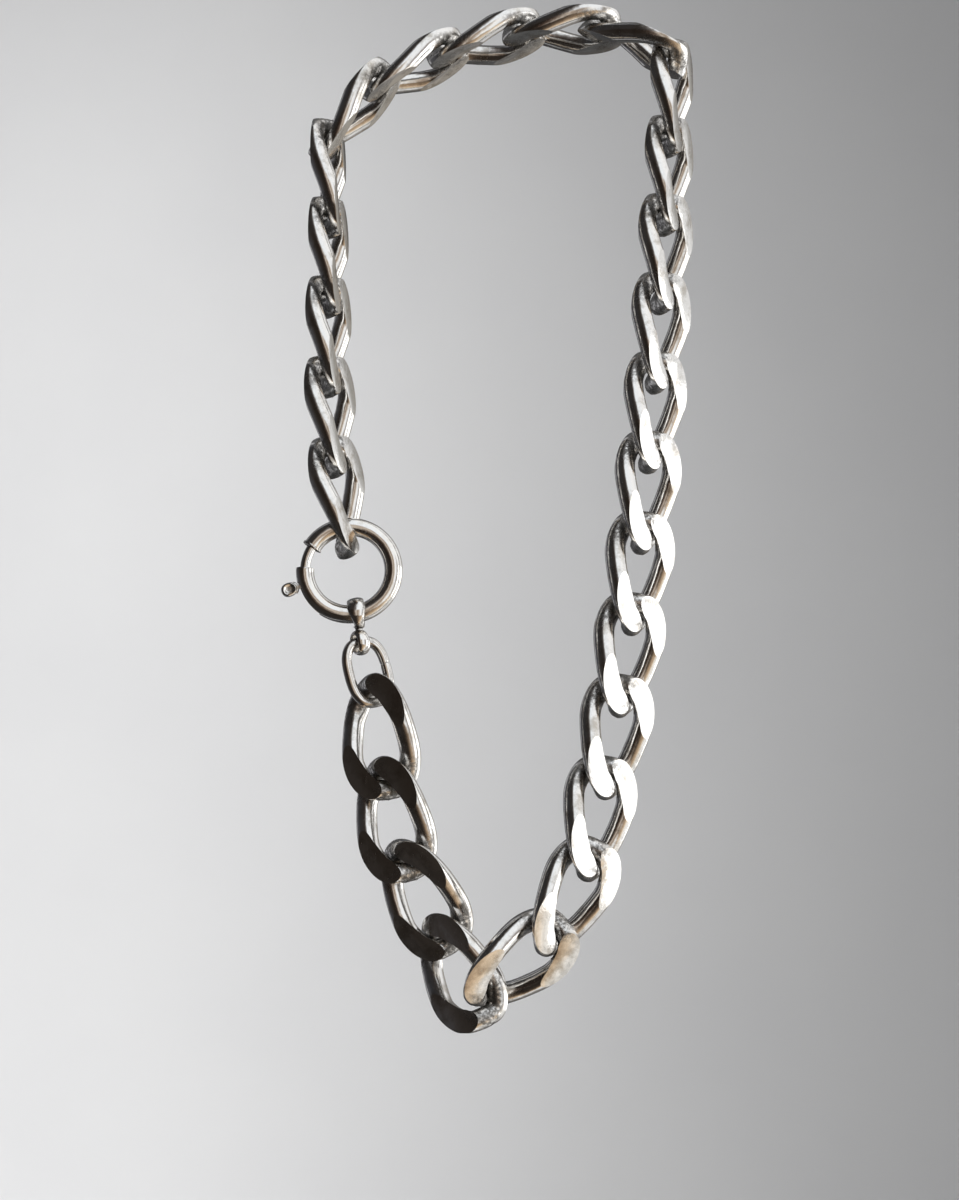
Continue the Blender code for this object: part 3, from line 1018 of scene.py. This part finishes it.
def build_jump_ring(top):
    """The oval ring from the bail's lower eye to the first link, cut on one side."""
    top = top + Vector((0.0, 0.0, JUMP_TOP_RISE))
    bottom = Vector(LOWER_LEFT_TOP) + Vector(JUMP_BOTTOM_SHIFT)
    bottom.z -= CLEARANCE / 2 + JUMP_WIRE_RADIUS
    along = top - bottom
    lean = degrees(atan2(along.x, along.z))
    tilt = degrees(asin(along.y / along.length))
    half_gap = degrees(asin(JUMP_CUT_GAP / 2 / JUMP_HALF_WIDTH))
    span = 360.0 - 2 * half_gap
    points = []
    for k in range(JUMP_STEPS + 1):
        angle = radians(JUMP_CUT_ANGLE + half_gap + span * k / JUMP_STEPS)
        x = JUMP_HALF_WIDTH * power(cos(angle), 2 / JUMP_ROUNDNESS)
        z = along.length / 2 * power(sin(angle), 2 / JUMP_ROUNDNESS)
        points.append(Vector((x, 0.0, z)))

    def radius(k, angle):
        edge = JUMP_CUT_EDGE if k in (0, JUMP_STEPS) else 0.0
        return JUMP_WIRE_RADIUS - JUMP_FIT - edge

    work = bmesh.new()
    sweep(work, round_rows(points, radius, JUMP_SIDES))
    mesh = mesh_from(work, "jump_ring_wire", 40.0)
    add_grime_and_shade(mesh, jump_grime_and_shade)
    matrix = place((top + bottom) / 2, facing(lean, tilt, JUMP_TURN))
    show("oval_jump_ring", "jump_ring", mesh, matrix, [clasp_silver])


build_links()
ring = ring_centre()
build_ring(ring)
build_bolt(ring)
build_spring(ring)
build_jump_ring(build_bail(ring))


# ---- Floor, backdrop, light and camera, all in metres ---------------------------

FLOOR_HEIGHT = -0.55
BACKDROP_Y = 1.5
BACKDROP_TOP = 2.4
STAGE_HALF_WIDTH = 2.6
STAGE_FRONT = -2.6
SWEEP_RADIUS = 0.7
SWEEP_STEPS = 24
STAGE_GREY = (0.70, 0.70, 0.705)
STAGE_PALE_GREY = (0.72, 0.72, 0.723)


def build_stage():
    """A floor that curves up into a backdrop, all of one pale matt grey."""
    outline = [(STAGE_FRONT, FLOOR_HEIGHT)]
    for k in range(SWEEP_STEPS + 1):
        angle = pi / 2 * k / SWEEP_STEPS
        y = BACKDROP_Y - SWEEP_RADIUS + SWEEP_RADIUS * sin(angle)
        z = FLOOR_HEIGHT + SWEEP_RADIUS - SWEEP_RADIUS * cos(angle)
        outline.append((y, z))
    outline.append((BACKDROP_Y, BACKDROP_TOP))
    work = bmesh.new()
    sides = (-STAGE_HALF_WIDTH, STAGE_HALF_WIDTH)
    rows = [[work.verts.new((x, y, z)) for y, z in outline] for x in sides]
    for k in range(len(outline) - 1):
        work.faces.new((rows[0][k], rows[1][k], rows[1][k + 1], rows[0][k + 1]))
    mesh = bpy.data.meshes.new("sweep")
    work.to_mesh(mesh)
    work.free()
    mesh.shade_smooth()
    n = Nodes("pale_matt_sweep")
    plaster = n.noise(6.0, 3.0, 0.5)
    colour = n.mix(n.ramp(plaster, 0.3, 0.7), STAGE_GREY, STAGE_PALE_GREY)
    rough = n.ramp(plaster, 0.3, 0.7, 0.85, 0.9)
    n.connect(colour, rough, n.bump(n.noise(900.0), 0.0002, 0.1))
    mesh.materials.append(n.material)
    obj = bpy.data.objects.new("floor_and_backdrop", mesh)
    bpy.context.scene.collection.objects.link(obj)
    obj.visible_glossy = False


class Light(NamedTuple):
    name: str
    place: tuple
    aim: tuple
    size: tuple
    watts: float
    colour: tuple
    lights_stage: bool
    seen_in_metal: bool


# The window is what the silver mirrors on its right. The others light only the stage.
WINDOW_WHITE = (1.0, 0.995, 0.985)
WHITE = (1, 1, 1)
LIGHTS = (
    Light(
        name="window",
        place=(1.05, 0.35, -0.25),
        aim=(0.0, 0.35, -0.25),
        size=(1.9, 0.8),
        watts=4.7,
        colour=WINDOW_WHITE,
        lights_stage=False,
        seen_in_metal=True,
    ),
    Light(
        name="backdrop_wash",
        place=(-0.35, 0.9, 0.1),
        aim=(-0.35, 1.5, 0.0),
        size=(0.5, 1.2),
        watts=4.9,
        colour=WHITE,
        lights_stage=True,
        seen_in_metal=False,
    ),
    Light(
        name="floor_fill",
        place=(0.0, -0.9, 1.6),
        aim=(0.0, -0.89, -0.55),
        size=(2.5, 2.0),
        watts=12.0,
        colour=WHITE,
        lights_stage=True,
        seen_in_metal=False,
    ),
)


def build_lights():
    for light in LIGHTS:
        data = bpy.data.lights.new(light.name, "AREA")
        data.shape = "RECTANGLE"
        data.size, data.size_y = light.size
        data.energy = light.watts
        data.color = light.colour
        obj = bpy.data.objects.new(light.name, data)
        bpy.context.scene.collection.objects.link(obj)
        obj.location = light.place
        direction = Vector(light.aim) - Vector(light.place)
        obj.rotation_euler = direction.to_track_quat("-Z", "Y").to_euler()
        obj.visible_camera = False
        obj.visible_diffuse = light.lights_stage
        obj.visible_glossy = light.seen_in_metal


# What falls on the floor and backdrop, and what the camera sees past them.
ROOM_FILL = (0.05, 0.05, 0.051)
ROOM_SEEN = (0.50, 0.50, 0.505)

# What the silver mirrors, by direction. Each ramp runs from -X (the left) through -Y (the
# viewer), +X and +Y back to -X: level with the object, above it and below it.
AROUND = (
    (0.00, (0.050, 0.048, 0.050)),
    (0.05, (0.035, 0.030, 0.028)),
    (0.10, (0.022, 0.018, 0.015)),
    (0.17, (0.018, 0.013, 0.010)),
    (0.20, (0.09, 0.06, 0.045)),
    (0.235, (0.62, 0.54, 0.46)),
    (0.26, (0.26, 0.19, 0.14)),
    (0.285, (0.50, 0.42, 0.34)),
    (0.31, (1.00, 0.99, 0.97)),
    (0.36, (0.90, 0.92, 0.95)),
    (0.39, (0.22, 0.18, 0.15)),
    (0.42, (0.80, 0.80, 0.80)),
    (0.60, (0.80, 0.80, 0.80)),
    (0.64, (0.34, 0.33, 0.31)),
    (0.70, (0.34, 0.31, 0.27)),
    (0.735, (0.09, 0.085, 0.08)),
    (0.78, (0.05, 0.05, 0.052)),
    (0.83, (0.12, 0.12, 0.125)),
    (0.86, (0.60, 0.60, 0.63)),
    (0.89, (0.08, 0.08, 0.088)),
    (1.00, (0.050, 0.048, 0.050)),
)
ABOVE = (
    (0.00, (0.030, 0.030, 0.032)),
    (0.185, (0.030, 0.025, 0.022)),
    (0.22, (0.20, 0.18, 0.17)),
    (0.245, (0.92, 0.96, 1.00)),
    (0.45, (1.00, 1.00, 1.00)),
    (0.60, (0.85, 0.85, 0.86)),
    (0.66, (0.30, 0.29, 0.28)),
    (0.75, (0.11, 0.11, 0.11)),
    (0.85, (0.09, 0.09, 0.095)),
    (0.88, (0.55, 0.55, 0.57)),
    (0.91, (0.07, 0.07, 0.075)),
    (1.00, (0.030, 0.030, 0.032)),
)
BELOW = (
    (0.00, (0.030, 0.028, 0.027)),
    (0.22, (0.030, 0.023, 0.018)),
    (0.28, (0.14, 0.10, 0.07)),
    (0.33, (0.55, 0.39, 0.25)),
    (0.40, (0.80, 0.65, 0.48)),
    (0.44, (0.95, 0.92, 0.87)),
    (0.60, (0.85, 0.85, 0.85)),
    (0.66, (0.36, 0.34, 0.32)),
    (0.74, (0.10, 0.10, 0.10)),
    (0.84, (0.05, 0.05, 0.05)),
    (0.87, (0.45, 0.45, 0.46)),
    (0.90, (0.06, 0.06, 0.06)),
    (1.00, (0.030, 0.028, 0.027)),
)

# How far the noise shifts the directions, and the heights over which the ramps blend.
WANDER = 0.3
ABOVE_FROM = (0.22, 0.42)
BELOW_FROM = (-0.30, -0.42)
STREAK_STRENGTH = (0.5, 1.25)


def ramp_by(tree, share, stops):
    """Colours along a share from 0 to 1."""
    made = tree.node("ShaderNodeValToRGB", {0: share})
    elements = made.color_ramp.elements
    while len(elements) > 1:
        elements.remove(elements[-1])
    position, colour = stops[0]
    elements[0].position = position
    elements[0].color = (*colour, 1.0)
    for position, colour in stops[1:]:
        elements.new(position).color = (*colour, 1.0)
    return made.outputs[0]


def build_world():
    """A studio round the object: dark on its left, bright on its right, grey behind."""
    world = bpy.data.worlds.new("studio")
    bpy.context.scene.world = world
    world.use_nodes = True
    tree = Tree(world.node_tree)
    background = tree.tree.nodes["Background"]
    background.inputs["Strength"].default_value = 1.0

    direction = tree.node("ShaderNodeTexCoord").outputs["Generated"]
    wander = tree.node(
        "ShaderNodeTexNoise", {"Vector": direction, "Scale": 2.2, "Detail": 2.0}
    )
    shifted = tree.node(
        "ShaderNodeVectorMath",
        {0: wander.outputs["Color"], 1: (WANDER, WANDER, WANDER), 2: direction},
        operation="MULTIPLY_ADD",
    )
    back = -WANDER / 2
    centred = tree.node(
        "ShaderNodeVectorMath", {0: shifted.outputs[0], 1: (back, back, back)}, operation="ADD"
    )
    axes = tree.node("ShaderNodeSeparateXYZ", {0: centred.outputs[0]})
    turn = tree.node(
        "ShaderNodeMath", {0: axes.outputs["Y"], 1: axes.outputs["X"]}, operation="ARCTAN2"
    )
    share = tree.node(
        "ShaderNodeMath",
        {0: turn.outputs[0], 1: 1 / (2 * pi), 2: 0.5},
        operation="MULTIPLY_ADD",
    )
    around, above, below = (
        ramp_by(tree, share.outputs[0], stops) for stops in (AROUND, ABOVE, BELOW)
    )
    high, low = (
        tree.node(
            "ShaderNodeMapRange",
            {0: axes.outputs["Z"], 1: start, 2: end},
            interpolation_type="SMOOTHSTEP",
        )
        for start, end in (ABOVE_FROM, BELOW_FROM)
    )
    marble = tree.node(
        "ShaderNodeTexNoise",
        {"Vector": direction, "Scale": 9.0, "Detail": 4.0, "Roughness": 0.6},
    )
    weakest, strongest = STREAK_STRENGTH
    streaks = tree.node(
        "ShaderNodeMapRange",
        {0: marble.outputs["Fac"], 1: 0.35, 2: 0.65, 3: weakest, 4: strongest},
    )
    marbled = tree.node(
        "ShaderNodeVectorMath", {0: below, 1: streaks.outputs[0]}, operation="MULTIPLY"
    )
    whole = tree.mix(low.outputs[0], around, marbled.outputs[0])
    whole = tree.mix(high.outputs[0], whole, above)
    path = tree.node("ShaderNodeLightPath")
    whole = tree.mix(path.outputs["Is Diffuse Ray"], whole, ROOM_FILL)
    whole = tree.mix(path.outputs["Is Camera Ray"], whole, ROOM_SEEN)
    tree.feed(background.inputs["Color"], whole)


# The camera looks up at the necklace from in front. Shifts are shares of the photo's
# height, and the lens and sensor are in millimetres.
CAMERA_AIM = (-0.004, 0.0, -0.094)
CAMERA_DISTANCE = 0.45
CAMERA_UPWARDS = 9.0
CAMERA_LENS = 77.1
CAMERA_SENSOR = 36.0
PHOTO_HEIGHT = 1200.0
CAMERA_SHIFT = (0.5 / PHOTO_HEIGHT, -40.0 / PHOTO_HEIGHT)


def build_camera():
    data = bpy.data.cameras.new("camera")
    data.sensor_width = CAMERA_SENSOR
    data.lens = CAMERA_LENS
    data.shift_x, data.shift_y = CAMERA_SHIFT
    camera = bpy.data.objects.new("camera", data)
    bpy.context.scene.collection.objects.link(camera)
    upwards = radians(CAMERA_UPWARDS)
    forward = Vector((0.0, cos(upwards), sin(upwards)))
    camera.location = Vector(CAMERA_AIM) - forward * CAMERA_DISTANCE
    camera.rotation_euler = (pi / 2 + upwards, 0.0, 0.0)
    bpy.context.scene.camera = camera


build_stage()
build_world()
build_lights()
build_camera()
bpy.context.scene.view_settings.view_transform = "Standard"
